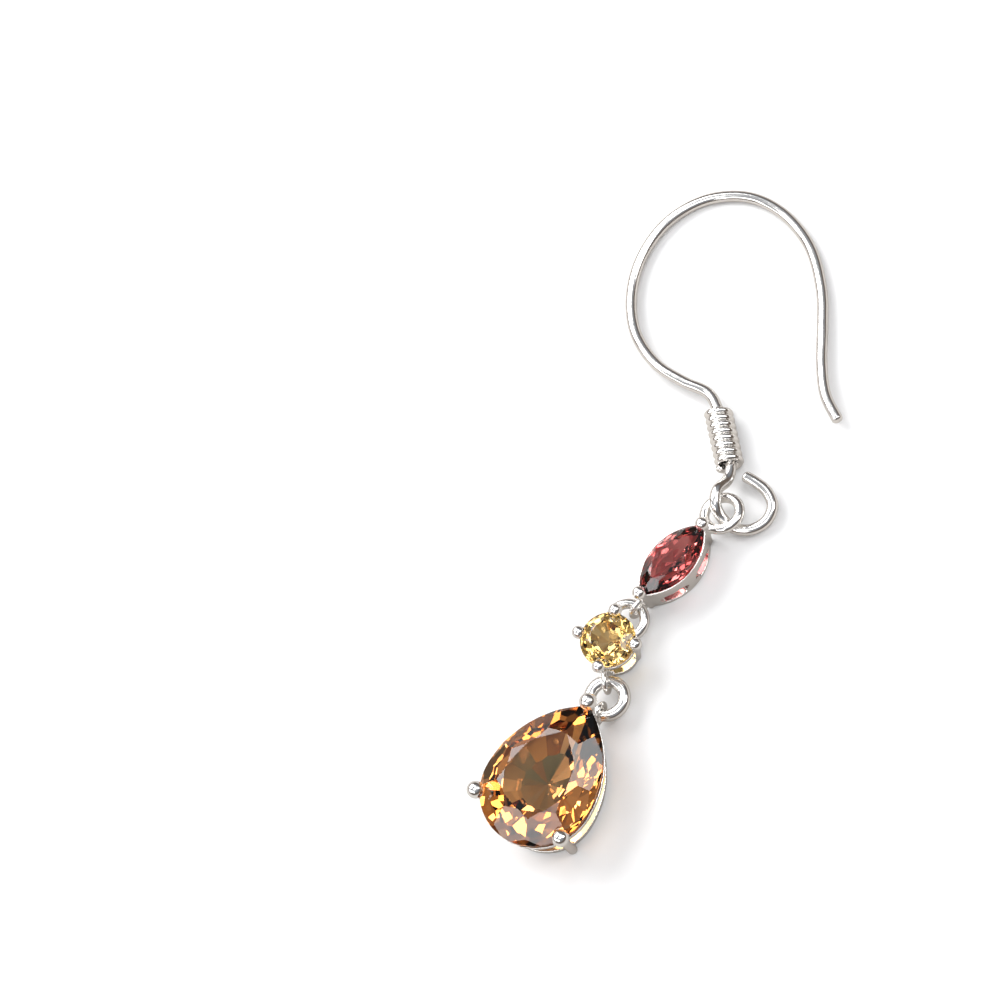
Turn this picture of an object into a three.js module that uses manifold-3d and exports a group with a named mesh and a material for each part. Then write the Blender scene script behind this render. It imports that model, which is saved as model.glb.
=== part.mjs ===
// A drop earring lying face up: ear wire with its coil, and three linked settings with their stones.
// Millimetres, +Z up. The chain runs along Y, the ear wire at +Y and the pear drop at -Y.
import * as THREE from "three";
import { mergeVertices } from "three/addons/utils/BufferGeometryUtils.js";
import Module from "manifold-3d";

const wasm = await Module();
wasm.setup();

// Driving dimensions
const wire = 0.78; // diameter of the ear wire
const coil = { wire: 0.48, pitch: 0.5, turns: 8.5, gap: 0.12 };
const girdle = 0.12; // thickness of a stone's edge
const seatGap = 0.08; // room between a stone and its setting

const pear = {
  at: [-1.67, -20.96], // centre of the round end
  turn: -16.2, // degrees about Z
  halfWidth: 3.9,
  tip: 6.5, // from the centre of the round end
  culetY: 0.8,
  edgeZ: 3.85,
  crown: 1.15,
  pavilion: 3.15,
  table: 0.58,
  ballRadius: 0.6,
  ballZ: 4.45,
  // each prong's ball: x, y, and how far out its foot stands as a part of that
  prongs: [[0, 6.65, 0.86], [3.42, -2.12, 0.87], [-3.42, -2.12, 0.87]],
  legRadius: 0.34,
};
const round = {
  at: [-0.25, -9.72],
  turn: 0,
  radius: 1.9,
  edgeZ: 2.8,
  crown: 0.6,
  pavilion: 1.62,
  table: 0.56,
  ballRadius: 0.46,
  ballZ: 3.1,
  ballAt: 2.02,
  legFoot: 1.45,
  legRadius: 0.27,
};
const marquise = {
  at: [2.405, -3.375],
  turn: -27.1,
  halfWidth: 1.475,
  tip: 3.05,
  edgeZ: 2.65,
  crown: 0.55,
  pavilion: 1.4,
  table: 0.62,
  ballRadius: 0.48,
  ballZ: 2.98,
  ballAt: 3.14,
  postAt: 2.85,
  legRadius: 0.34,
};
const topRing = { at: [4.48, 0.9], z: 1.35, radius: 1.25, wire: 0.7, tilt: 14, lowSide: 135 };
const upperLink = { at: [0.168, -7.722], z: 1.2, radius: 1.2, wire: 0.7 };
const lowerLink = { at: [0.35, -13.26], z: 1.2, radius: 1.195, wire: 0.85 };
const eyelet = { radius: 0.72, wire: 0.4 };

// Centre line of the ear wire from its free end to the end of its eye: x, y, height
const hookBends = [
  [10.4, 9.0, 0.85], [9.0, 10.7, 0.8], [8.1, 12.9, 0.72], [7.4, 15.6, 0.64], [6.6, 18.2, 0.56],
  [4.9, 21.2, 0.46], [2.3, 23.3, 0.4], [-0.4, 24.0, 0.39], [-3.3, 23.2, 0.4], [-5.5, 21.0, 0.46],
  [-6.5, 18.0, 0.54], [-6.3, 15.0, 0.64], [-5.15, 12.45, 0.72], [-3.1, 10.6, 0.8], [-0.8, 9.7, 0.9],
  [1.05, 9.22, 0.96],
];
const shank = { top: [2.02, 8.2, 1.03], bottom: [4.05, 4.3, 1.03] };
const eyeBends = [
  [4.15, 3.3, 1.25], [3.85, 2.25, 1.9], [4.0, 1.3, 1.86], [4.5, 0.66, 1.2], [5.35, 0.25, 0.74],
  [6.5, 0.4, 0.62], [7.4, 1.2, 0.66], [7.55, 2.3, 0.76], [6.9, 3.2, 0.86], [5.9, 3.7, 0.92],
  [5.05, 3.95, 0.96],
];

// Finishes
const silver = new THREE.MeshStandardMaterial({ color: 0xdcdad6, roughness: 0.12, metalness: 1 });
const redStone = new THREE.MeshStandardMaterial({ color: 0x8a1620, roughness: 0.04, metalness: 0 });
const yellowStone = new THREE.MeshStandardMaterial({ color: 0xe2ab3a, roughness: 0.04, metalness: 0 });
const amberStone = new THREE.MeshStandardMaterial({ color: 0xcf8640, roughness: 0.04, metalness: 0 });

// Solids

function solid(geometry) {
  const bare = geometry.clone();
  bare.deleteAttribute("normal");
  bare.deleteAttribute("uv");
  const merged = mergeVertices(bare, 1e-4);
  return new wasm.Manifold(new wasm.Mesh({
    numProp: 3,
    vertProperties: merged.attributes.position.array,
    triVerts: new Uint32Array(merged.index.array),
  }));
}

const joined = (solids) => solids.reduce((all, next) => all.add(next));

function named(name, shape, material) {
  const made = shape.getMesh();
  const geometry = new THREE.BufferGeometry();
  geometry.setAttribute("position", new THREE.BufferAttribute(made.vertProperties, 3));
  geometry.setIndex(new THREE.BufferAttribute(made.triVerts, 1));
  geometry.computeVertexNormals();
  const mesh = new THREE.Mesh(geometry, material);
  mesh.name = name;
  return mesh;
}

function ball(centre, radius) {
  return solid(new THREE.SphereGeometry(radius, 14, 9).translate(...centre));
}

// A round bar between two points, tapering from one radius to the other.
function bar(from, to, radiusFrom, radiusTo) {
  const a = new THREE.Vector3(...from);
  const b = new THREE.Vector3(...to);
  const along = b.clone().sub(a);
  const geometry = new THREE.CylinderGeometry(radiusTo, radiusFrom, along.length(), 10);
  const turn = new THREE.Quaternion().setFromUnitVectors(
    new THREE.Vector3(0, 1, 0), along.clone().normalize(),
  );
  geometry.applyQuaternion(turn).translate(...a.add(b).multiplyScalar(0.5));
  return solid(geometry);
}

// Round wire bent along a curve.
function bentWire(curve, radius, steps, sides) {
  const section = new THREE.Shape();
  section.absarc(0, 0, radius, 0, 2 * Math.PI);
  const settings = { steps, extrudePath: curve, curveSegments: sides / 2 };
  return solid(new THREE.ExtrudeGeometry(section, settings));
}

function ring(radius, wireDiameter, segments) {
  return new THREE.TorusGeometry(radius, wireDiameter / 2, 8, segments);
}

// A solid between one outline at z0 and another with as many points at z1.
function loft(lower, upper, z0, z1) {
  const n = lower.length;
  const points = [...lower.map((p) => [p.x, p.y, z0]), ...upper.map((p) => [p.x, p.y, z1])];
  points.push([0, 0, z0], [0, 0, z1]);
  const faces = [];
  for (let i = 0; i < n; i++) {
    const j = (i + 1) % n;
    faces.push(i, j, n + j, i, n + j, n + i, 2 * n, j, i, 2 * n + 1, n + i, n + j);
  }
  const geometry = new THREE.BufferGeometry();
  geometry.setAttribute("position", new THREE.Float32BufferAttribute(points.flat(), 3));
  return solid(geometry.setIndex(faces).toNonIndexed());
}

// Outlines of the stones, each grown outward by an offset; the tips point along +Y.

function arc(cx, cy, radius, from, to, steps) {
  return Array.from({ length: steps }, (_, i) => {
    const a = from + ((to - from) * i) / steps;
    return new THREE.Vector2(cx + radius * Math.cos(a), cy + radius * Math.sin(a));
  });
}

function pearOutline(grow, steps = 8) {
  const w = pear.halfWidth;
  const k = (pear.tip ** 2 - w ** 2) / (2 * w); // the side arcs' centres lie this far past the axis
  const r = w + k + grow;
  const tipAngle = Math.acos(k / r);
  return [
    ...arc(-k, 0, r, 0, tipAngle, steps),
    ...arc(k, 0, r, Math.PI - tipAngle, Math.PI, steps),
    ...arc(0, 0, w + grow, Math.PI, 2 * Math.PI, 2 * steps),
  ];
}

function marquiseOutline(grow, steps = 10) {
  const k = (marquise.tip ** 2 - marquise.halfWidth ** 2) / (2 * marquise.halfWidth);
  const r = marquise.halfWidth + k + grow;
  const tipAngle = Math.acos(k / r);
  return [
    ...arc(-k, 0, r, -tipAngle, tipAngle, steps),
    ...arc(k, 0, r, Math.PI - tipAngle, Math.PI + tipAngle, steps),
  ];
}

const roundOutline = (grow, steps = 32) => arc(0, 0, round.radius + grow, 0, 2 * Math.PI, steps);

const band = (outline, z0, z1, outer0, outer1, inner0, inner1) =>
  loft(outline(outer0), outline(outer1), z0, z1)
    .subtract(loft(outline(inner0), outline(inner1), z0 - 1, z1 + 1));

// A faceted stone: a block of the outline's shape, cut facet by facet. mains lists the azimuths
// of the main facets in degrees; between each two neighbours lie a star and two half facets.
function cutStone(outline, size, culetY, mains, grow = 0) {
  const edge = outline(grow);
  const lowEdge = size.edgeZ - girdle / 2;
  const highEdge = size.edgeZ + girdle / 2;
  const top = highEdge + size.crown + grow;
  const bottom = lowEdge - size.pavilion - grow;
  let stone = loft(edge, edge, bottom, top);
  const cut = (azimuth, reach, edgeHeight, rise, run) => {
    const a = (azimuth * Math.PI) / 180;
    const normal = new THREE.Vector3(Math.cos(a) * Math.abs(rise), Math.sin(a) * Math.abs(rise), run);
    if (rise < 0) normal.z = -run;
    normal.normalize();
    const offset = normal.x * reach * Math.cos(a) + normal.y * (culetY + reach * Math.sin(a))
      + normal.z * edgeHeight;
    stone = stone.trimByPlane([-normal.x, -normal.y, -normal.z], -offset);
  };
  const reachAt = (azimuth) => {
    const a = (azimuth * Math.PI) / 180;
    return Math.max(...edge.map((p) => p.x * Math.cos(a) + (p.y - culetY) * Math.sin(a)));
  };
  mains.forEach((azimuth, i) => {
    const next = i + 1 < mains.length ? mains[i + 1] : mains[0] + 360;
    const middle = (azimuth + next) / 2;
    const mainReach = reachAt(azimuth);
    const starReach = reachAt(middle);
    cut(azimuth, mainReach, highEdge, size.crown, (1 - size.table) * mainReach);
    cut(azimuth, mainReach, lowEdge, -size.pavilion, mainReach);
    cut(middle, size.table * 0.96 * starReach, top, size.crown, (1.5 - size.table) * starReach);
    for (const half of [0.25, 0.75]) {
      const halfAzimuth = azimuth + (next - azimuth) * half;
      const reach = reachAt(halfAzimuth);
      cut(halfAzimuth, reach, highEdge, size.crown, (0.86 - size.table) * reach);
      cut(halfAzimuth, reach, lowEdge, -size.pavilion, 0.9 * reach);
    }
  });
  return stone;
}

const pearMains = [-90, -48, -5, 30, 62, 118, 150, 185, 228];
const marquiseMains = [-52, -22, 22, 52, 128, 158, 202, 232];
const roundMains = Array.from({ length: 8 }, (_, i) => 45 * i);

const pearStone = (grow) => cutStone(pearOutline, pear, pear.culetY, pearMains, grow);
const marquiseStone = (grow) => cutStone(marquiseOutline, marquise, 0, marquiseMains, grow);
const roundStone = (grow) => cutStone(roundOutline, round, 0, roundMains, grow);

// A piece made about its own stone, put where the stone lies.
const placed = (shape, stone) => shape.rotate([0, 0, stone.turn]).translate([...stone.at, 0]);

// A setting with room cut for its stone and its foot filed flat, put where the stone lies.
const fitted = (shape, cutter, stone) =>
  placed(shape.subtract(cutter).trimByPlane([0, 0, 1], 0), stone);

function placedPoint(x, y, stone) {
  const p = new THREE.Vector2(x, y).rotateAround(new THREE.Vector2(), (stone.turn * Math.PI) / 180);
  return [p.x + stone.at[0], p.y + stone.at[1]];
}

// A small ring on edge, from a post towards the link that passes through it.
function linkEyelet(post, link) {
  const dx = link.at[0] - post[0];
  const dy = link.at[1] - post[1];
  const reach = Math.hypot(dx, dy) - link.radius;
  const geometry = ring(eyelet.radius, eyelet.wire, 18).rotateX(Math.PI / 2);
  geometry.translate(reach, 0, 0).rotateZ(Math.atan2(dy, dx)).translate(...post, link.z);
  return solid(geometry);
}

// Sub-parts

function makeEarHook() {
  const bends = [...hookBends, shank.top, shank.bottom, ...eyeBends];
  const path = new THREE.CatmullRomCurve3(bends.map((p) => new THREE.Vector3(...p)), false, "centripetal");
  path.arcLengthDivisions = 800;
  return bentWire(path, wire / 2, 150, 8);
}

class Helix extends THREE.Curve {
  constructor(radius, pitch, turns) {
    super();
    Object.assign(this, { radius, pitch, turns });
  }
  getPoint(t, target = new THREE.Vector3()) {
    const a = 2 * Math.PI * this.turns * t;
    return target.set(this.radius * Math.cos(a), this.radius * Math.sin(a), this.pitch * this.turns * t);
  }
}

function makeCoil() {
  const radius = wire / 2 + coil.gap + coil.wire / 2;
  const helix = new Helix(radius, coil.pitch, coil.turns);
  const from = new THREE.Vector3(...shank.top);
  const axis = new THREE.Vector3(...shank.bottom).sub(from);
  const start = (axis.length() - coil.pitch * coil.turns) / 2;
  const turn = new THREE.Quaternion().setFromUnitVectors(new THREE.Vector3(0, 0, 1), axis.normalize());
  const matrix = new THREE.Matrix4().makeRotationFromQuaternion(turn);
  matrix.setPosition(from.addScaledVector(axis, start));
  const shape = bentWire(helix, coil.wire / 2, Math.round(coil.turns * 14), 6);
  return shape.transform(matrix.elements);
}

function makeMarquiseSetting() {
  const { ballAt, ballZ, ballRadius, postAt, legRadius, edgeZ } = marquise;
  let body = band(marquiseOutline, 0, edgeZ, 0.0, 0.18, -0.5, -0.3);
  for (const side of [-1, 1]) {
    const slot = new THREE.BoxGeometry(6, 2.0, 1.2).translate(0, side * 1.35, 0.9);
    body = body.subtract(solid(slot));
    body = body.add(bar([0, side * postAt, 0], [0, side * ballAt, ballZ], legRadius, legRadius));
    body = body.add(ball([0, side * ballAt, ballZ], ballRadius));
  }
  body = fitted(body, marquiseStone(seatGap), marquise);

  const low = (topRing.lowSide * Math.PI) / 180;
  const tiltAxis = new THREE.Vector3(-Math.sin(low), Math.cos(low), 0);
  const tilt = new THREE.Matrix4().makeRotationAxis(tiltAxis, (topRing.tilt * Math.PI) / 180);
  const geometry = ring(topRing.radius, topRing.wire, 28).applyMatrix4(tilt);
  const upper = placedPoint(0, postAt, marquise);
  const toRing = new THREE.Vector2(topRing.at[0] - upper[0], topRing.at[1] - upper[1]);
  const neck = toRing.clone().setLength(toRing.length() - topRing.radius);
  const neckEnd = [upper[0] + neck.x, upper[1] + neck.y, topRing.z];
  return joined([
    body,
    solid(geometry.translate(...topRing.at, topRing.z)),
    bar([...upper, topRing.z], neckEnd, legRadius, legRadius),
    linkEyelet(placedPoint(0, -postAt, marquise), upperLink),
  ]);
}

function makeRoundSetting() {
  const { ballAt, ballZ, ballRadius, legFoot, legRadius, edgeZ } = round;
  let body = band(roundOutline, 0, 0.5, -0.28, -0.22, -0.75, -0.75);
  body = body.add(band(roundOutline, edgeZ - 0.85, edgeZ - 0.35, -0.06, 0.02, -0.6, -0.5));
  for (let i = 0; i < 4; i++) {
    const a = (i * Math.PI) / 2;
    const out = (r, z) => [r * Math.cos(a), r * Math.sin(a), z];
    body = body.add(bar(out(legFoot, 0.02), out(ballAt, ballZ), legRadius, legRadius));
    body = body.add(ball(out(ballAt, ballZ), ballRadius));
  }
  body = fitted(body, roundStone(seatGap), round);
  const legAtLink = legFoot + ((ballAt - legFoot) * lowerLink.z) / ballZ;
  return body.add(linkEyelet(placedPoint(0, -legAtLink, round), lowerLink));
}

function makePearSetting() {
  const { ballZ, ballRadius, prongs, legRadius, edgeZ } = pear;
  let body = band(pearOutline, 0, 0.6, -0.6, -0.52, -1.2, -1.2);
  body = body.add(band(pearOutline, edgeZ - 1.2, edgeZ - 0.6, -0.1, 0, -0.8, -0.7));
  for (const [x, y, foot] of prongs) {
    body = body.add(bar([foot * x, foot * y, 0.02], [x, y, ballZ], legRadius, legRadius));
    body = body.add(ball([x, y, ballZ], ballRadius));
  }
  body = fitted(body, pearStone(seatGap), pear);
  const [, tipY, tipFoot] = prongs[0];
  const legAtLink = tipY * (tipFoot + ((1 - tipFoot) * lowerLink.z) / ballZ);
  return body.add(linkEyelet(placedPoint(0, legAtLink, pear), lowerLink));
}

const makeLink = (link) =>
  solid(ring(link.radius, link.wire, 28).translate(...link.at, link.z));

const earring = new THREE.Group();
const pieces = new THREE.Group();
pieces.add(
  named("ear_hook", makeEarHook(), silver),
  named("coil_wrap", makeCoil(), silver),
  named("marquise_setting", makeMarquiseSetting(), silver),
  named("marquise_stone", placed(marquiseStone(), marquise), redStone),
  named("link_ring_upper", makeLink(upperLink), silver),
  named("round_setting", makeRoundSetting(), silver),
  named("round_stone", placed(roundStone(), round), yellowStone),
  named("link_ring_lower", makeLink(lowerLink), silver),
  named("pear_setting", makePearSetting(), silver),
  named("pear_stone", placed(pearStone(), pear), amberStone),
);

// The origin is the middle of the earring's outline on the surface that it lies on.
const box = new THREE.Box3().setFromObject(pieces);
const middle = box.getCenter(new THREE.Vector3());
pieces.position.set(-middle.x, -middle.y, -box.min.z);
earring.add(pieces);

export default earring;
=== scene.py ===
import random
from math import acos, atan2, cos, hypot, pi, radians, sin, sqrt, tan

import bmesh
import bpy
from mathutils import Matrix, Quaternion, Vector


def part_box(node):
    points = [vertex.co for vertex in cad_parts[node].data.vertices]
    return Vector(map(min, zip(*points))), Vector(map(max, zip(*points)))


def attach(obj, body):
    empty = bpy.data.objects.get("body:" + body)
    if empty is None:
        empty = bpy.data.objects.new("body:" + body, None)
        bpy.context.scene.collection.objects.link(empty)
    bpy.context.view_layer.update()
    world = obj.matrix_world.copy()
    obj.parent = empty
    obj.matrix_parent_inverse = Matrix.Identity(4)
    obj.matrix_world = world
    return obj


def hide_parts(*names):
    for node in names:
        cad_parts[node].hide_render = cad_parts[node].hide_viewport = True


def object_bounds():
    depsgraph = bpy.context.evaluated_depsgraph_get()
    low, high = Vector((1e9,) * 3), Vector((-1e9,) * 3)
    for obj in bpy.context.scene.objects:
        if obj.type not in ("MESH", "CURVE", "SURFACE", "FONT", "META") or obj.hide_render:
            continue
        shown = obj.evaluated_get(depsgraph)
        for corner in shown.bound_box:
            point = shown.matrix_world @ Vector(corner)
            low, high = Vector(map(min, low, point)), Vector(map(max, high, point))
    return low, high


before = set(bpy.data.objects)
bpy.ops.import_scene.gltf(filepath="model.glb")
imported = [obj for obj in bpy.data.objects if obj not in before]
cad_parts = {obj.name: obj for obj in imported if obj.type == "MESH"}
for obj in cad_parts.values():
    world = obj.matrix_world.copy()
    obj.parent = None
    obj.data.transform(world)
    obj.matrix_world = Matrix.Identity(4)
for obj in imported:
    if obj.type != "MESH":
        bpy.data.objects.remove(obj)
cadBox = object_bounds()
print("frame loaded")

# Pieces are made in millimetres about the layout point of the chain, then put into the frame in metres.
mm = 0.001
upperLink = {"at": (0.168, -7.722), "height": 1.2, "radius": 1.2, "wire": 0.7}
lowerLink = {"at": (0.35, -13.26), "height": 1.2, "radius": 1.195, "wire": 0.85}
ringLow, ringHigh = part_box("link_ring_upper")
layoutPoint = (ringLow + ringHigh) / 2 - Vector((*upperLink["at"], upperLink["height"])) * mm


# ---- node trees: sockets that add and multiply as numbers do

class Socket:
    def __init__(self, tree, link):
        self.tree = tree
        self.link = link

    def maths(self, operation, *values):
        kind = "ShaderNodeMath"
        return self.tree.node(kind, {"operation": operation}, dict(enumerate(values)))

    def __add__(self, other):
        return self.maths("ADD", self, other)

    def __sub__(self, other):
        return self.maths("SUBTRACT", self, other)

    def __mul__(self, other):
        return self.maths("MULTIPLY", self, other)

    def __rsub__(self, other):
        return self.maths("SUBTRACT", other, self)

    __radd__ = __add__
    __rmul__ = __mul__

    def limited(self):
        return self.tree.node("ShaderNodeClamp", {}, {"Value": self})


class NodeTree:
    def __init__(self, tree):
        self.tree = tree

    # a node of any kind: its settings first, then values or links for its sockets
    def node(self, kind, settings=None, sockets=None, out=0):
        made = self.tree.nodes.new(kind)
        for key, value in (settings or {}).items():
            if key == "stops":
                self.setStops(made.color_ramp, value)
            else:
                setattr(made, key, value)
        for key, value in (sockets or {}).items():
            if isinstance(value, Socket):
                self.tree.links.new(value.link, made.inputs[key])
            else:
                made.inputs[key].default_value = value
        return Socket(self, made.outputs[out]) if made.outputs else made

    def setStops(self, ramp, stops):
        for i, (place, colour) in enumerate(stops):
            stop = ramp.elements[i] if i < 2 else ramp.elements.new(place)
            stop.position = place
            stop.color = (*colour, 1.0)


def newMaterial(name):
    material = bpy.data.materials.new(name)
    material.use_nodes = True
    material.node_tree.nodes.clear()
    return material, NodeTree(material.node_tree)


def mixed(tree, factor, a, b):
    # input and output numbers of the Mix node's colour sockets
    return tree.node("ShaderNodeMix", {"data_type": "RGBA"}, {0: factor, 6: a, 7: b}, out=2)


# ---- materials

silverLook = {
    "bright": (0.97, 0.955, 0.93, 1), "worn": (0.86, 0.84, 0.82, 1),
    "cloudSize": 1.4,      # mm, patches a polishing cloth leaves
    "smooth": 0.13, "hazed": 0.24,
    "wave": 0.05,          # mm of slow unevenness
    "scratch": 0.003,
}


def makeSilver():
    look = silverLook
    material, tree = newMaterial("polishedSilver")
    place = tree.node("ShaderNodeTexCoord", out="Object")
    inMm = tree.node("ShaderNodeMapping", {}, {"Vector": place, "Scale": (1000, 1000, 1000)})
    cloud = tree.node("ShaderNodeTexNoise", {}, {
        "Vector": inMm, "Scale": 1 / look["cloudSize"], "Detail": 3.0, "Roughness": 0.6})
    streakSpace = tree.node("ShaderNodeMapping", {}, {
        "Vector": inMm, "Rotation": (0.3, 0.2, 0.9), "Scale": (2.0, 26.0, 9.0)})
    streak = tree.node("ShaderNodeTexNoise", {}, {
        "Vector": streakSpace, "Scale": 1.0, "Detail": 4.0, "Roughness": 0.7})
    worn = ((cloud - 0.42) * 3.0).limited()
    colour = mixed(tree, worn, look["bright"], look["worn"])
    rough = look["smooth"] + worn * (look["hazed"] - look["smooth"]) * streak * 1.6
    wave = tree.node("ShaderNodeTexNoise", {}, {"Vector": inMm, "Scale": 0.9, "Detail": 1.0})
    slow = tree.node("ShaderNodeBump", {}, {
        "Height": wave, "Distance": look["wave"] * mm, "Strength": 0.35})
    fine = tree.node("ShaderNodeBump", {}, {
        "Height": streak, "Distance": look["scratch"] * mm, "Strength": 0.5, "Normal": slow})
    shader = tree.node("ShaderNodeBsdfPrincipled", {}, {
        "Base Color": colour, "Metallic": 1.0, "Roughness": rough, "Normal": fine})
    tree.node("ShaderNodeOutputMaterial", {}, {"Surface": shader})
    return material


# A clear stone: each facet under the edge has its own painted tone of light and shade, standing in for its
# sparkle and dark facets, with a painted centre of another colour.
def makeGem(name, look, centre):
    material, tree = newMaterial(name)
    place = tree.node("ShaderNodeTexCoord", out="Object")
    local = tree.node("ShaderNodeMapping", {}, {
        "Vector": place, "Location": tuple(-1000 * c for c in centre), "Scale": (1000, 1000, 1000)})
    swirl = tree.node("ShaderNodeTexNoise", {}, {
        "Vector": local, "Scale": look["swirl"], "Detail": 2.5, "Distortion": 0.6})
    paintedCentreMask = tree.node("ShaderNodeAttribute", {"attribute_name": "paintedCentreShading"}, out="Fac")
    facet = tree.node("ShaderNodeAttribute", {"attribute_name": "tone"}, out="Fac")
    # painted light and shade: each facet's own tone darkens or brightens the stone's colour
    paintedFacetColour = tree.node("ShaderNodeValToRGB", {"stops": look["paintedFacetShades"]}, {"Fac": facet + (swirl - 0.5) * 0.2})
    # painted shade: under-edge facets near the middle are mixed toward the centre colour; the amber stone's dark
    # olive centre is painted shade, the red and yellow stones get a paler centre colour
    colour = mixed(tree, paintedCentreMask * look["paintedCentreAmount"], paintedFacetColour, look["paintedCentreShading"])
    smudge = tree.node("ShaderNodeTexNoise", {}, {"Vector": local, "Scale": 2.6, "Detail": 4.0})
    rough = look["rough"] + ((smudge - 0.5) * 0.06).limited()
    shader = tree.node("ShaderNodeBsdfPrincipled", {}, {
        "Base Color": colour, "Roughness": rough, "IOR": look["ior"],
        "Transmission Weight": 1.0})
    body = tree.node("ShaderNodeVolumeAbsorption", {}, {
        "Color": look["body"], "Density": look["density"]})
    tree.node("ShaderNodeOutputMaterial", {}, {"Surface": shader, "Volume": body})
    return material


# The floor is paler to the eye than it is in the metal and through the stones: for every ray but a camera ray it
# is painted darker, a painted shade in its reflections.
def makeFloorMaterial():
    material, tree = newMaterial("paleFloor")
    place = tree.node("ShaderNodeTexCoord", out="Object")
    grain = tree.node("ShaderNodeTexNoise", {}, {"Vector": place, "Scale": 900.0, "Detail": 2.0})
    pale = mixed(tree, grain, (0.92, 0.92, 0.92, 1), (0.95, 0.95, 0.95, 1))
    seen = tree.node("ShaderNodeLightPath", out="Is Camera Ray")
    # painted shade: the darker colour is what the metal reflects and what shows through the stones
    colour = mixed(tree, seen, (0.50, 0.47, 0.44, 1), pale)
    shader = tree.node("ShaderNodeBsdfPrincipled", {}, {"Base Color": colour, "Roughness": 0.7})
    tree.node("ShaderNodeOutputMaterial", {}, {"Surface": shader})
    return material


silver = makeSilver()
print("silver made")


# ---- finished pieces

def objectOf(mesh, name):
    made = bpy.data.objects.new(name, mesh)
    bpy.context.collection.objects.link(made)
    return made


# the shape that modifiers give, as a plain object with none of them
def settled(source, name):
    bpy.context.view_layer.update()
    graph = bpy.context.evaluated_depsgraph_get()
    mesh = bpy.data.meshes.new_from_object(source.evaluated_get(graph))
    bpy.data.objects.remove(source)
    return objectOf(mesh, name)


def finish(piece, node, material, smooth=True):
    mesh = piece.data
    mesh.transform(Matrix.Translation(layoutPoint) @ Matrix.Scale(mm, 4))
    mesh.polygons.foreach_set("use_smooth", [smooth] * len(mesh.polygons))
    mesh.materials.clear()
    mesh.materials.append(material)
    mesh.update()
    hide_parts(node)
    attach(piece, "root")
    print(piece.name, len(mesh.polygons), "faces")
    return piece


# ---- wire pieces, by Geometry Nodes

def geometryTree(name, inputs):
    group = bpy.data.node_groups.new(name, "GeometryNodeTree")
    group.interface.new_socket(name="Geometry", in_out="OUTPUT", socket_type="NodeSocketGeometry")
    group.interface.new_socket(name="Geometry", in_out="INPUT", socket_type="NodeSocketGeometry")
    for key, kind in inputs.items():
        group.interface.new_socket(name=key, in_out="INPUT", socket_type=kind)
    tree = NodeTree(group)
    entry = group.nodes.new("NodeGroupInput")
    return tree, {key: Socket(tree, entry.outputs[key]) for key in ["Geometry", *inputs]}


def endTree(tree, shape, material):
    real = tree.node("GeometryNodeRealizeInstances", {}, {"Geometry": shape})
    dressed = tree.node("GeometryNodeSetMaterial", {}, {"Geometry": real, "Material": material})
    exitNode = tree.tree.nodes.new("NodeGroupOutput")
    tree.tree.links.new(dressed.link, exitNode.inputs["Geometry"])
    return tree.tree


# a round section along a curve, with both of its ends domed
def sweep(tree, curve, wire, sides, endShare):
    along = tree.node("GeometryNodeSplineParameter", {}, {}, out="Factor")
    toEnd = along.maths("MINIMUM", along, 1 - along)
    near = (toEnd.maths("DIVIDE", toEnd, endShare)).limited()
    fall = 1 - near
    dome = near.maths("SQRT", (1 - fall * fall) + 0.0001)
    section = tree.node("GeometryNodeCurvePrimitiveCircle", {}, {"Resolution": sides, "Radius": wire * 0.5})
    thick = tree.node("GeometryNodeSetCurveRadius", {}, {"Curve": curve, "Radius": dome})
    sockets = {"Curve": thick, "Profile Curve": section, "Fill Caps": True}
    made = tree.tree.nodes.new("GeometryNodeCurveToMesh")
    for key, value in sockets.items():
        if isinstance(value, Socket):
            tree.tree.links.new(value.link, made.inputs[key])
        else:
            made.inputs[key].default_value = value
    if "Scale" in made.inputs:
        tree.tree.links.new(dome.link, made.inputs["Scale"])
    return Socket(tree, made.outputs[0])


def wireAlongTree():
    tree, given = geometryTree("wireAlongPath", {
        "Wire": "NodeSocketFloat", "Sides": "NodeSocketInt", "End Share": "NodeSocketFloat"})
    curve = tree.node("GeometryNodeMeshToCurve", {}, {"Mesh": given["Geometry"]})
    shape = sweep(tree, curve, given["Wire"], given["Sides"], given["End Share"])
    return endTree(tree, shape, silver)


def coilTree():
    tree, given = geometryTree("woundCoil", {
        "Wire": "NodeSocketFloat", "Radius": "NodeSocketFloat", "Turns": "NodeSocketFloat",
        "Pitch": "NodeSocketFloat", "Sides": "NodeSocketInt", "End Share": "NodeSocketFloat"})
    curve = tree.node("GeometryNodeCurveSpiral", {}, {
        "Resolution": 44, "Rotations": given["Turns"], "Start Radius": given["Radius"],
        "End Radius": given["Radius"], "Height": given["Turns"] * given["Pitch"]})
    shape = sweep(tree, curve, given["Wire"], given["Sides"], given["End Share"])
    return endTree(tree, shape, silver)


def linkTree():
    tree, given = geometryTree("closedLink", {"Radius": "NodeSocketFloat", "Wire": "NodeSocketFloat"})
    curve = tree.node("GeometryNodeCurvePrimitiveCircle", {}, {"Resolution": 120, "Radius": given["Radius"]})
    section = tree.node("GeometryNodeCurvePrimitiveCircle", {}, {
        "Resolution": 32, "Radius": given["Wire"] * 0.5})
    shape = tree.node("GeometryNodeCurveToMesh", {}, {"Curve": curve, "Profile Curve": section})
    return endTree(tree, shape, silver)


def throughNodes(source, group, values, name):
    modifier = source.modifiers.new("Nodes", "NODES")
    modifier.node_group = group
    for item in group.interface.items_tree:
        if item.in_out == "INPUT" and item.name in values:
            modifier[item.identifier] = values[item.name]
    return settled(source, name)


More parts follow.
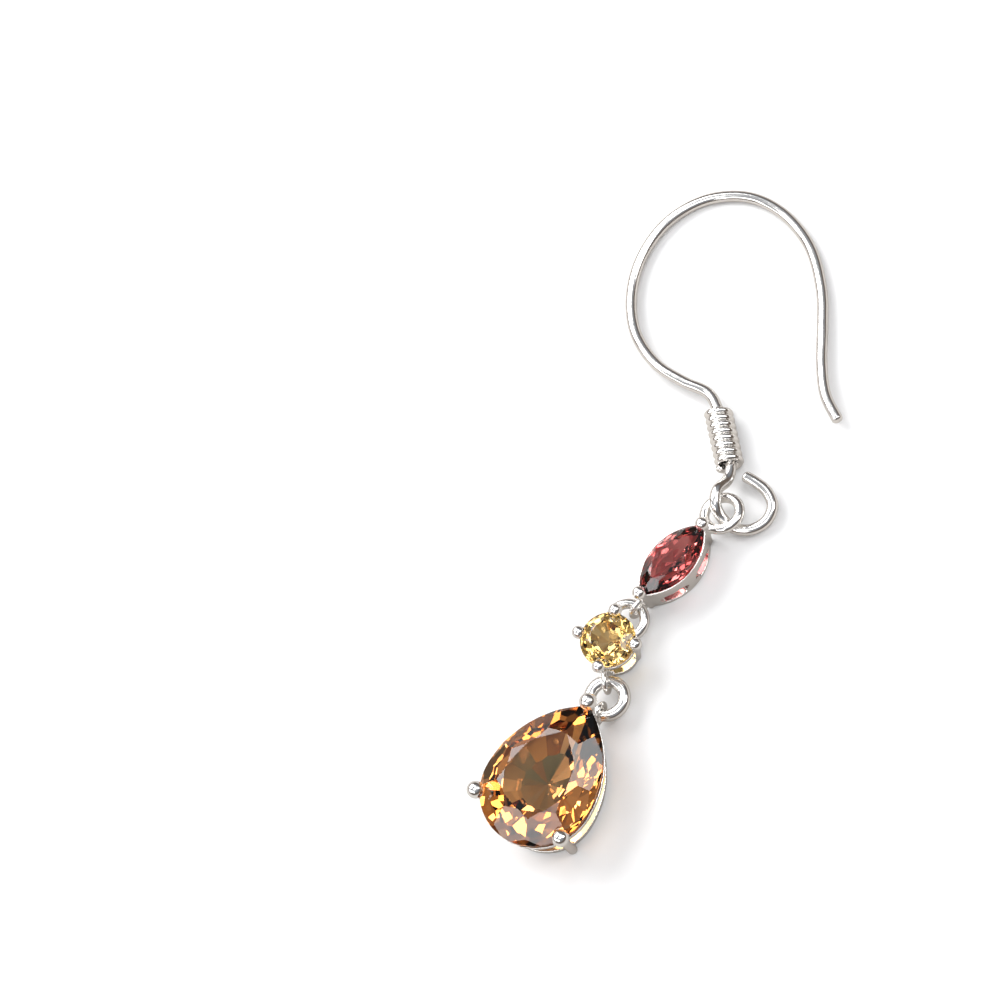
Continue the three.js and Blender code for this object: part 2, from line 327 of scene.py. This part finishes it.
# The path of the ear wire, smooth through its bends: x, y, height in millimetres.
earWire = {
    "wire": 0.78, "sides": 40, "endShare": 0.0045, "stepsPerBend": 26,
    "hook": [
        (10.4, 9.0, 0.85), (9.0, 10.7, 0.8), (8.1, 12.9, 0.72), (7.4, 15.6, 0.64), (6.6, 18.2, 0.56),
        (4.9, 21.2, 0.46), (2.3, 23.3, 0.4), (-0.4, 24.0, 0.39), (-3.3, 23.2, 0.4), (-5.5, 21.0, 0.46),
        (-6.5, 18.0, 0.54), (-6.3, 15.0, 0.64), (-5.15, 12.45, 0.72), (-3.1, 10.6, 0.8), (-0.8, 9.7, 0.9),
        (1.05, 9.22, 0.96),
    ],
    "shank": [(2.02, 8.2, 1.03), (4.05, 4.3, 1.03)],
    "eye": [
        (4.15, 3.3, 1.25), (3.85, 2.25, 1.9), (4.0, 1.3, 1.86), (4.5, 0.66, 1.2), (5.35, 0.25, 0.74),
        (6.5, 0.4, 0.62), (7.4, 1.2, 0.66), (7.55, 2.3, 0.76), (6.9, 3.2, 0.86), (5.9, 3.7, 0.92),
        (5.05, 3.95, 0.96),
    ],
}


def smoothPath(bends, steps):
    points = [Vector(p) for p in bends]
    points = [2 * points[0] - points[1], *points, 2 * points[-1] - points[-2]]
    path = []
    for a, b, c, d in zip(points, points[1:], points[2:], points[3:]):
        first, span, last = sqrt((b - a).length), sqrt((c - b).length), sqrt((d - c).length)
        leave = ((b - a) / first - (c - a) / (first + span) + (c - b) / span) * span
        reach = ((c - b) / span - (d - b) / (span + last) + (d - c) / last) * span
        for i in range(steps):
            t = i / steps
            path.append(b * (2 * t**3 - 3 * t**2 + 1) + leave * (t**3 - 2 * t**2 + t)
                        + c * (3 * t**2 - 2 * t**3) + reach * (t**3 - t**2))
    path.append(points[-2])
    return path


# the same path in even steps, with closer ones where the ends are domed
def evenPath(path, step, endLength):
    lengths = [0.0]
    for a, b in zip(path, path[1:]):
        lengths.append(lengths[-1] + (b - a).length)
    total = lengths[-1]
    count = int(total / step)
    ends = [endLength * (1 - cos(pi * i / 20)) for i in range(10)]
    places = ends + [endLength + (total - 2 * endLength) * i / count for i in range(count + 1)]
    places += [total - e for e in reversed(ends)]
    result, k = [], 0
    for place in places:
        while k < len(lengths) - 2 and lengths[k + 1] < place:
            k += 1
        share = (place - lengths[k]) / (lengths[k + 1] - lengths[k])
        result.append(path[k].lerp(path[k + 1], share))
    return result, total


def polyline(points):
    mesh = bpy.data.meshes.new("path")
    mesh.from_pydata(points, [(i, i + 1) for i in range(len(points) - 1)], [])
    return objectOf(mesh, "path")


def makeEarHook():
    spec = earWire
    path = smoothPath(spec["hook"] + spec["shank"] + spec["eye"], spec["stepsPerBend"])
    points, total = evenPath(path, 0.12, spec["wire"] * 0.32)
    piece = throughNodes(polyline(points), wireAlongTree(), {
        "Wire": spec["wire"], "Sides": spec["sides"], "End Share": spec["wire"] * 0.32 / total}, "earHook")
    return finish(piece, "ear_hook", silver)


coilSpec = {"wire": 0.48, "pitch": 0.5, "turns": 8.5, "gap": 0.12, "sides": 24}


def makeCoil():
    spec = coilSpec
    top, bottom = (Vector(p) for p in earWire["shank"])
    axis = bottom - top
    start = (axis.length - spec["pitch"] * spec["turns"]) / 2
    radius = earWire["wire"] / 2 + spec["gap"] + spec["wire"] / 2
    piece = throughNodes(objectOf(bpy.data.meshes.new("coil"), "coil"), coilTree(), {
        "Wire": spec["wire"], "Radius": radius, "Turns": spec["turns"], "Pitch": spec["pitch"],
        "Sides": spec["sides"], "End Share": 0.006}, "coilWrap")
    turn = Vector((0, 0, 1)).rotation_difference(axis).to_matrix().to_4x4()
    piece.data.transform(Matrix.Translation(top + axis.normalized() * start) @ turn)
    return finish(piece, "coil_wrap", silver)


def makeLink(link, name, node):
    values = {"Radius": link["radius"], "Wire": link["wire"]}
    piece = throughNodes(objectOf(bpy.data.meshes.new("link"), "link"), linkTree(), values, name)
    piece.data.transform(Matrix.Translation((*link["at"], link["height"])))
    return finish(piece, node, silver)


makeEarHook()
makeCoil()
makeLink(upperLink, "upperLink", "link_ring_upper")
makeLink(lowerLink, "lowerLink", "link_ring_lower")
print("wire pieces made")


# ---- outlines of the stones, grown outward by an offset, tips along +Y

pear = {
    "at": (-1.67, -20.96), "turn": -16.2, "halfWidth": 3.9, "tip": 6.5, "culetY": 0.8,
    "edge": 3.85, "crown": 1.15, "pavilion": 3.15, "table": 0.58,
    "mains": (-90, -48, -5, 30, 62, 118, 150, 185, 228),
}
roundCut = {
    "at": (-0.25, -9.72), "turn": 0.0, "halfWidth": 1.9, "culetY": 0.0,
    "edge": 2.8, "crown": 0.6, "pavilion": 1.62, "table": 0.56,
    "mains": tuple(45 * i for i in range(8)),
}
marquise = {
    "at": (2.405, -3.375), "turn": -27.1, "halfWidth": 1.475, "tip": 3.05, "culetY": 0.0,
    "edge": 2.65, "crown": 0.55, "pavilion": 1.4, "table": 0.62,
    "mains": (-52, -22, 22, 52, 128, 158, 202, 232),
}
girdle = 0.12
seatGap = 0.06


def arc(cx, cy, radius, start, end, steps):
    angles = [start + (end - start) * i / steps for i in range(steps)]
    return [(cx + radius * cos(a), cy + radius * sin(a)) for a in angles]


def pearOutline(grow, steps=26):
    half = pear["halfWidth"]
    k = (pear["tip"] ** 2 - half**2) / (2 * half)
    r = half + k + grow
    tipAngle = acos(k / r)
    return (arc(-k, 0, r, 0, tipAngle, steps) + arc(k, 0, r, pi - tipAngle, pi, steps)
            + arc(0, 0, half + grow, pi, 2 * pi, 2 * steps))


def marquiseOutline(grow, steps=36):
    half = marquise["halfWidth"]
    k = (marquise["tip"] ** 2 - half**2) / (2 * half)
    r = half + k + grow
    tipAngle = acos(k / r)
    return arc(-k, 0, r, -tipAngle, tipAngle, steps) + arc(k, 0, r, pi - tipAngle, pi + tipAngle, steps)


def roundOutline(grow, steps=96):
    return arc(0, 0, roundCut["halfWidth"] + grow, 0, 2 * pi, steps)


# ---- solids in millimetres

def loft(bm, levels):
    rings = [[bm.verts.new((x, y, z)) for x, y in outline] for outline, z in levels]
    for lower, upper in zip(rings, rings[1:]):
        for i in range(len(lower)):
            j = (i + 1) % len(lower)
            bm.faces.new((lower[i], lower[j], upper[j], upper[i]))
    bm.faces.new(list(reversed(rings[0])))
    bm.faces.new(rings[-1])


# a wall between two outlines, from z0 to z1
def wallBand(bm, outline, z0, z1, outer0, outer1, inner0, inner1):
    corners = [(outer0, z0), (outer1, z1), (inner1, z1), (inner0, z0)]
    rings = [[bm.verts.new((x, y, z)) for x, y in outline(grow)] for grow, z in corners]
    for here, there in zip(rings, rings[1:] + rings[:1]):
        for i in range(len(here)):
            j = (i + 1) % len(here)
            bm.faces.new((here[i], here[j], there[j], there[i]))


def addBall(bm, centre, radius):
    where = Matrix.Translation(centre)
    bmesh.ops.create_uvsphere(bm, u_segments=40, v_segments=24, radius=radius, matrix=where)


def addBar(bm, start, end, radiusStart, radiusEnd):
    along = Vector(end) - Vector(start)
    turn = Vector((0, 0, 1)).rotation_difference(along).to_matrix().to_4x4()
    where = Matrix.Translation((Vector(start) + Vector(end)) / 2) @ turn
    bmesh.ops.create_cone(bm, cap_ends=True, segments=32, radius1=radiusStart, radius2=radiusEnd,
                          depth=along.length, matrix=where)


def addRing(bm, radius, wire, matrix):
    around, section = 72, 24
    rings = []
    for i in range(around):
        a = 2 * pi * i / around
        ring = []
        for k in range(section):
            b = 2 * pi * k / section
            r = radius + wire / 2 * cos(b)
            ring.append(bm.verts.new(matrix @ Vector((r * cos(a), r * sin(a), wire / 2 * sin(b)))))
        rings.append(ring)
    for i, ring in enumerate(rings):
        after = rings[(i + 1) % around]
        for k in range(section):
            j = (k + 1) % section
            bm.faces.new((ring[k], after[k], after[j], ring[j]))


def meshObject(bm, name):
    mesh = bpy.data.meshes.new(name)
    bm.to_mesh(mesh)
    bm.free()
    return objectOf(mesh, name)


def cutAway(target, cutter):
    modifier = target.modifiers.new("Cut", "BOOLEAN")
    modifier.operation = "DIFFERENCE"
    modifier.solver = "EXACT"
    modifier.use_self = True
    modifier.object = cutter
    made = settled(target, target.name)
    bpy.data.objects.remove(cutter)
    return made


# Rows of facets below the edge: where each starts and ends (part of the reach, part of the depth)
# and its places between one main facet and the next.
underside = [
    ((1.0, 0.0), (0.74, 0.40), (0.2, 0.7)),
    ((0.74, 0.40), (0.40, 0.77), (0.0, 0.45)),
    ((0.40, 0.77), (0.0, 1.0), (0.25, 0.7)),
]


# A stone cut facet by facet from a block of its outline. Each main facet has a star and two halves
# between it and the next, above the edge.
def cutStone(outline, spec, name, grow=0.0):
    edge = outline(grow)
    centreY = spec["culetY"]
    lowEdge, highEdge = spec["edge"] - girdle / 2, spec["edge"] + girdle / 2
    top, bottom = highEdge + spec["crown"] + grow, lowEdge - spec["pavilion"] - grow
    bm = bmesh.new()
    loft(bm, [(edge, bottom), (edge, top)])

    def reachAt(azimuth):
        a = radians(azimuth)
        return max(x * cos(a) + (y - centreY) * sin(a) for x, y in edge)

    def facet(azimuth, reach, height, rise, run):
        a = radians(azimuth)
        normal = Vector((cos(a) * abs(rise), sin(a) * abs(rise), run if rise > 0 else -run))
        point = Vector((reach * cos(a), centreY + reach * sin(a), height))
        everything = bm.verts[:] + bm.edges[:] + bm.faces[:]
        bmesh.ops.bisect_plane(bm, geom=everything, dist=1e-5, plane_co=point,
                               plane_no=normal.normalized(), clear_outer=True)
        rim = [e for e in bm.edges if e.is_boundary]
        if rim:
            bmesh.ops.holes_fill(bm, edges=rim, sides=0)

    mains = spec["mains"]
    for azimuth, after in zip(mains, mains[1:] + (mains[0] + 360,)):
        middle = (azimuth + after) / 2
        reach, starReach = reachAt(azimuth), reachAt(middle)
        facet(azimuth, reach, highEdge, spec["crown"], (1 - spec["table"]) * reach)
        facet(middle, spec["table"] * 0.96 * starReach, top, spec["crown"],
              (1.5 - spec["table"]) * starReach)
        for (out, down), (inner, deeper), turns in underside:
            for share in turns:
                between = azimuth + (after - azimuth) * share
                reached = reachAt(between)
                facet(between, out * reached, lowEdge - down * spec["pavilion"],
                      -(deeper - down) * spec["pavilion"], (out - inner) * reached)
        for share in (0.25, 0.75):
            half = azimuth + (after - azimuth) * share
            halfReach = reachAt(half)
            facet(half, halfReach, highEdge, spec["crown"], (0.86 - spec["table"]) * halfReach)
    bmesh.ops.dissolve_limit(bm, angle_limit=radians(0.2), verts=bm.verts[:], edges=bm.edges[:])
    bmesh.ops.recalc_face_normals(bm, faces=bm.faces[:])
    return meshObject(bm, name)


def placing(spec):
    return Matrix.Translation((*spec["at"], 0)) @ Matrix.Rotation(radians(spec["turn"]), 4, "Z")


def placedPoint(x, y, spec):
    return (placing(spec) @ Vector((x, y, 0))).to_2d()


def stoneCentre(spec):
    return layoutPoint + (placing(spec) @ Vector((0, spec["culetY"], spec["edge"]))) * mm


# ---- settings: cast and soldered pieces, joined into one skin with soft corners

casting = {"grain": 0.05, "relax": 7}


def castOne(source, name):
    skin = source.modifiers.new("Skin", "REMESH")
    skin.mode = "VOXEL"
    skin.voxel_size = casting["grain"]
    soften = source.modifiers.new("Soften", "SMOOTH")
    soften.factor = 0.5
    soften.iterations = casting["relax"]
    return settled(source, name)


eyelet = {"radius": 0.72, "wire": 0.4}


# a small ring on edge, from a post towards the link that passes through it
def addEyelet(bm, post, link):
    toLink = Vector(link["at"]) - Vector(post)
    out = Matrix.Translation((toLink.length - link["radius"], 0, 0))
    matrix = (Matrix.Translation((*post, link["height"])) @ Matrix.Rotation(atan2(toLink.y, toLink.x), 4, "Z")
              @ out @ Matrix.Rotation(pi / 2, 4, "X"))
    addRing(bm, eyelet["radius"], eyelet["wire"], matrix)


# the solids of a setting about its own stone, with the stone's seat cut
def seated(bm, outline, spec, name):
    body = meshObject(bm, name)
    cutter = cutStone(outline, spec, "seat", seatGap)
    body = cutAway(body, cutter)
    body.data.transform(placing(spec))
    return body


# further solids joined to a body, then all of it cast
def castWith(body, bm, name):
    bm.from_mesh(body.data)
    bpy.data.objects.remove(body)
    return castOne(meshObject(bm, name), name)


marquiseSetting = {
    "ballAt": 3.14, "ballHeight": 2.98, "ballRadius": 0.48, "postAt": 2.85, "leg": 0.32,
    "slot": {"length": 2.0, "height": 1.2, "at": 1.35, "middle": 0.9},
    "ring": {"at": (4.48, 0.9), "height": 1.35, "radius": 1.25, "wire": 0.7, "tilt": 14, "low": 135},
}


def addSlot(bm, spec, side):
    half, middle = spec["height"] / 2, spec["length"] / 2 - spec["height"] / 2
    ends = arc(middle, 0, half, -pi / 2, pi / 2, 16) + arc(-middle, 0, half, pi / 2, 3 * pi / 2, 16)
    turn = Matrix(((0, 0, 1), (1, 0, 0), (0, 1, 0))).to_4x4()
    before = set(bm.verts)
    loft(bm, [(ends, -3), (ends, 3)])
    fresh = [v for v in bm.verts if v not in before]
    bmesh.ops.transform(bm, matrix=Matrix.Translation((0, side * spec["at"], spec["middle"])) @ turn, verts=fresh)


def makeMarquiseSetting():
    spec = marquiseSetting
    bm = bmesh.new()
    wallBand(bm, marquiseOutline, 0, marquise["edge"], 0.0, 0.18, -0.5, -0.3)
    wall = meshObject(bm, "wall")
    cuts = bmesh.new()
    for side in (-1, 1):
        addSlot(cuts, spec["slot"], side)
    wall = cutAway(wall, meshObject(cuts, "slots"))
    bm = bmesh.new()
    bm.from_mesh(wall.data)
    bpy.data.objects.remove(wall)
    for side in (-1, 1):
        ball = (0, side * spec["ballAt"], spec["ballHeight"])
        addBar(bm, (0, side * spec["postAt"], 0.05), ball, spec["leg"], spec["leg"])
        addBall(bm, ball, spec["ballRadius"])
    body = seated(bm, marquiseOutline, marquise, "marquiseBody")

    ring = spec["ring"]
    low = radians(ring["low"])
    tiltAxis = Vector((-sin(low), cos(low), 0))
    tilt = Matrix.Translation((*ring["at"], ring["height"])) @ Matrix.Rotation(radians(ring["tilt"]), 4, tiltAxis)
    bm = bmesh.new()
    addRing(bm, ring["radius"], ring["wire"], tilt)
    upper = placedPoint(0, spec["postAt"], marquise)
    toRing = Vector(ring["at"]) - upper
    neck = upper + toRing.normalized() * (toRing.length - ring["radius"])
    addBar(bm, (*upper, ring["height"]), (*neck, ring["height"]), spec["leg"], spec["leg"])
    addEyelet(bm, placedPoint(0, -spec["postAt"], marquise), upperLink)
    return finish(castWith(body, bm, "marquiseSetting"), "marquise_setting", silver)


roundSetting = {"ballAt": 2.02, "ballHeight": 3.1, "ballRadius": 0.46, "foot": 1.45, "leg": 0.27}


def makeRoundSetting():
    spec, edge = roundSetting, roundCut["edge"]
    bm = bmesh.new()
    wallBand(bm, roundOutline, 0, 0.5, -0.28, -0.22, -0.75, -0.75)
    wallBand(bm, roundOutline, edge - 0.85, edge - 0.35, -0.06, 0.02, -0.6, -0.5)
    for i in range(4):
        out = Vector((cos(pi / 2 * i), sin(pi / 2 * i), 0))
        ball = out * spec["ballAt"] + Vector((0, 0, spec["ballHeight"]))
        addBar(bm, out * spec["foot"] + Vector((0, 0, 0.05)), ball, spec["leg"], spec["leg"])
        addBall(bm, ball, spec["ballRadius"])
    body = seated(bm, roundOutline, roundCut, "roundBody")
    share = lowerLink["height"] / spec["ballHeight"]
    leg = spec["foot"] + (spec["ballAt"] - spec["foot"]) * share
    bm = bmesh.new()
    addEyelet(bm, placedPoint(0, -leg, roundCut), lowerLink)
    return finish(castWith(body, bm, "roundSetting"), "round_setting", silver)


# each prong: its ball's place and how far out its foot stands as a part of that
pearSetting = {
    "ballHeight": 4.45, "ballRadius": 0.6, "leg": 0.34,
    "prongs": [((0, 6.65), 0.86), ((3.42, -2.12), 0.87), ((-3.42, -2.12), 0.87)],
}


def makePearSetting():
    spec, edge = pearSetting, pear["edge"]
    bm = bmesh.new()
    wallBand(bm, pearOutline, 0, 0.6, -0.6, -0.52, -1.2, -1.2)
    wallBand(bm, pearOutline, edge - 1.2, edge - 0.6, -0.1, 0.0, -0.8, -0.7)
    for (x, y), foot in spec["prongs"]:
        ball = (x, y, spec["ballHeight"])
        addBar(bm, (foot * x, foot * y, 0.05), ball, spec["leg"], spec["leg"])
        addBall(bm, ball, spec["ballRadius"])
    body = seated(bm, pearOutline, pear, "pearBody")
    (_, tipY), tipFoot = spec["prongs"][0]
    leg = tipY * (tipFoot + (1 - tipFoot) * lowerLink["height"] / spec["ballHeight"])
    bm = bmesh.new()
    addEyelet(bm, placedPoint(0, leg, pear), lowerLink)
    return finish(castWith(body, bm, "pearSetting"), "pear_setting", silver)


makeMarquiseSetting()
makeRoundSetting()
makePearSetting()
print("settings made")


# ---- stones

# painted light and shade on the facets: tones run from the darkest facet to the clear top of the stone, which is
# painted brightest
gemLooks = {
    "red": {
        "paintedFacetShades": [(0.0, (0.42, 0.03, 0.04)), (0.35, (0.85, 0.10, 0.11)), (0.75, (1.0, 0.42, 0.38)),
                  (1.0, (1.0, 0.50, 0.48))],
        "paintedCentreShading": (1.0, 0.40, 0.36, 1), "paintedCentreSize": 1.0, "paintedCentreAmount": 0.35,
        "swirl": 0.6, "ior": 1.76, "rough": 0.0, "body": (0.86, 0.05, 0.07, 1), "density": 170.0, "seed": 5,
    },
    "yellow": {
        "paintedFacetShades": [(0.0, (0.50, 0.24, 0.04)), (0.3, (0.95, 0.60, 0.14)), (0.65, (1.0, 0.76, 0.30)),
                  (1.0, (1.0, 0.88, 0.50))],
        "paintedCentreShading": (1.0, 0.70, 0.40, 1), "paintedCentreSize": 0.7, "paintedCentreAmount": 0.4,
        "swirl": 0.7, "ior": 1.72, "rough": 0.0, "body": (1.0, 0.66, 0.16, 1), "density": 120.0, "seed": 3,
    },
    "amber": {
        "paintedFacetShades": [(0.0, (0.08, 0.025, 0.01)), (0.3, (0.55, 0.17, 0.03)), (0.5, (1.0, 0.44, 0.09)),
                  (0.8, (1.0, 0.62, 0.24)), (1.0, (1.0, 0.82, 0.54))],
        # painted shade: a dark olive centre, the shadow under the stone as seen through its table
        "paintedCentreShading": (0.09, 0.17, 0.10, 1), "paintedCentreSize": 2.3, "paintedCentreAmount": 0.95,
        "swirl": 0.32, "ior": 1.66, "rough": 0.0, "body": (1.0, 0.50, 0.12, 1), "density": 90.0, "seed": 11,
    },
}


# two numbers for each facet: its painted tone of light and shade, by chance, and whether it belongs to the
# stone's painted centre
def paintFacetShading(mesh, look, centre):
    chance = random.Random(look["seed"])
    tone = mesh.attributes.new("tone", "FLOAT", "FACE")
    paintedCentreShading = mesh.attributes.new("paintedCentreShading", "FLOAT", "FACE")
    for face in mesh.polygons:
        under = face.normal.z < -0.05
        # painted highlight: the table gets the brightest tone, the crown facets a little less
        crownPaintedLight = 1.0 if face.normal.z > 0.99 else chance.uniform(0.4, 0.8)
        tone.data[face.index].value = chance.uniform(0.0, 0.9) if under else crownPaintedLight
        # the painted centre: under-edge facets near the middle of the stone
        inPaintedCentre = under and (face.center.to_2d() - centre).length < look["paintedCentreSize"]
        paintedCentreShading.data[face.index].value = chance.uniform(0.5, 1.0) if inPaintedCentre else 0.0


def makeStone(outline, spec, name, node, look):
    piece = cutStone(outline, spec, name)
    piece.data.transform(placing(spec))
    paintFacetShading(piece.data, gemLooks[look], placedPoint(0, spec["culetY"], spec))
    material = makeGem(name + "Gem", gemLooks[look], stoneCentre(spec))
    return finish(piece, node, material, smooth=False)


makeStone(marquiseOutline, marquise, "marquiseStone", "marquise_stone", "red")
makeStone(roundOutline, roundCut, "roundStone", "round_stone", "yellow")
makeStone(pearOutline, pear, "pearStone", "pear_stone", "amber")
print("stones made")


# ---- floor, lights and camera

studio = {
    "floorSize": 6.0,      # metres
    "aim": (-13.29, -0.63),  # mm from the middle of the earring to the middle of the view
    "elevation": 65.0, "azimuth": -40.15, "roll": -35.6, "distance": 300.0, "lens": 157.7,
}
middle = (cadBox[0] + cadBox[1]) / 2
middle.z = cadBox[0].z


def makeFloor():
    bm = bmesh.new()
    bmesh.ops.create_circle(bm, cap_ends=True, segments=96, radius=studio["floorSize"])
    floor = meshObject(bm, "floor")
    floor.data.transform(Matrix.Translation((middle.x, middle.y, cadBox[0].z)))
    floor.data.materials.append(makeFloorMaterial())


def direction(azimuth, elevation):
    a, e = radians(azimuth), radians(elevation)
    return Vector((cos(a) * cos(e), sin(a) * cos(e), sin(e)))


def makeCamera():
    aim = middle + Vector((*studio["aim"], 0)) * mm
    back = direction(studio["azimuth"], studio["elevation"])
    turn = back.to_track_quat("Z", "Y") @ Quaternion((0, 0, 1), radians(studio["roll"]))
    data = bpy.data.cameras.new("camera")
    data.lens, data.sensor_width = studio["lens"], 36
    data.clip_start, data.clip_end = 0.005, 50
    camera = bpy.data.objects.new("camera", data)
    camera.matrix_world = Matrix.Translation(aim + back * studio["distance"] * mm) @ turn.to_matrix().to_4x4()
    bpy.context.collection.objects.link(camera)
    bpy.context.scene.camera = camera


# soft boxes about the earring: direction, distance and size in metres, power in watts
softBoxes = [
    {"name": "key", "azimuth": 158, "elevation": 42, "distance": 0.6, "size": (0.52, 0.40), "power": 3.6},
    {"name": "over", "azimuth": -60, "elevation": 78, "distance": 0.7, "size": (0.34, 0.26), "power": 0.6},
    {"name": "left", "azimuth": 215, "elevation": 24, "distance": 0.6, "size": (0.40, 0.14), "power": 0.5},
    {"name": "right", "azimuth": 25, "elevation": 50, "distance": 0.6, "size": (0.18, 0.44), "power": 1.0},
    {"name": "front", "azimuth": -105, "elevation": 40, "distance": 0.6, "size": (0.46, 0.16), "power": 0.8},
    {"name": "back", "azimuth": 85, "elevation": 68, "distance": 0.6, "size": (0.16, 0.16), "power": 0.4},
]


def makeLights():
    for box in softBoxes:
        data = bpy.data.lights.new(box["name"], "AREA")
        data.shape = "RECTANGLE"
        data.size, data.size_y = box["size"]
        data.energy = box["power"]
        out = direction(box["azimuth"], box["elevation"])
        light = bpy.data.objects.new(box["name"], data)
        light.matrix_world = (Matrix.Translation(middle + out * box["distance"])
                              @ out.to_track_quat("Z", "Y").to_matrix().to_4x4())
        bpy.context.collection.objects.link(light)


# The room: pale overhead, darker towards the horizon, so that metal and facets have contrast.
def makeRoom():
    world = bpy.data.worlds.new("room")
    world.use_nodes = True
    world.node_tree.nodes.clear()
    tree = NodeTree(world.node_tree)
    ray = tree.node("ShaderNodeTexCoord", out="Generated")
    height = tree.node("ShaderNodeSeparateXYZ", {}, {0: ray}, out="Z")
    tone = tree.node("ShaderNodeValToRGB", {"stops": [
        (0.0, (0.30, 0.29, 0.28)), (0.06, (0.16, 0.13, 0.11)), (0.32, (0.13, 0.10, 0.08)),
        (0.5, (0.16, 0.16, 0.17)), (0.75, (0.30, 0.31, 0.33)), (1.0, (0.42, 0.43, 0.45))]}, {"Fac": height})
    seen = tree.node("ShaderNodeLightPath", out="Is Camera Ray")
    colour = mixed(tree, seen, tone, (0.93, 0.93, 0.93, 1))
    glow = tree.node("ShaderNodeBackground", {}, {"Color": colour, "Strength": 1.0})
    tree.node("ShaderNodeOutputWorld", {}, {"Surface": glow})
    bpy.context.scene.world = world


makeFloor()
makeLights()
makeRoom()
makeCamera()
bpy.context.scene.view_settings.view_transform = "Standard"
print("studio made")
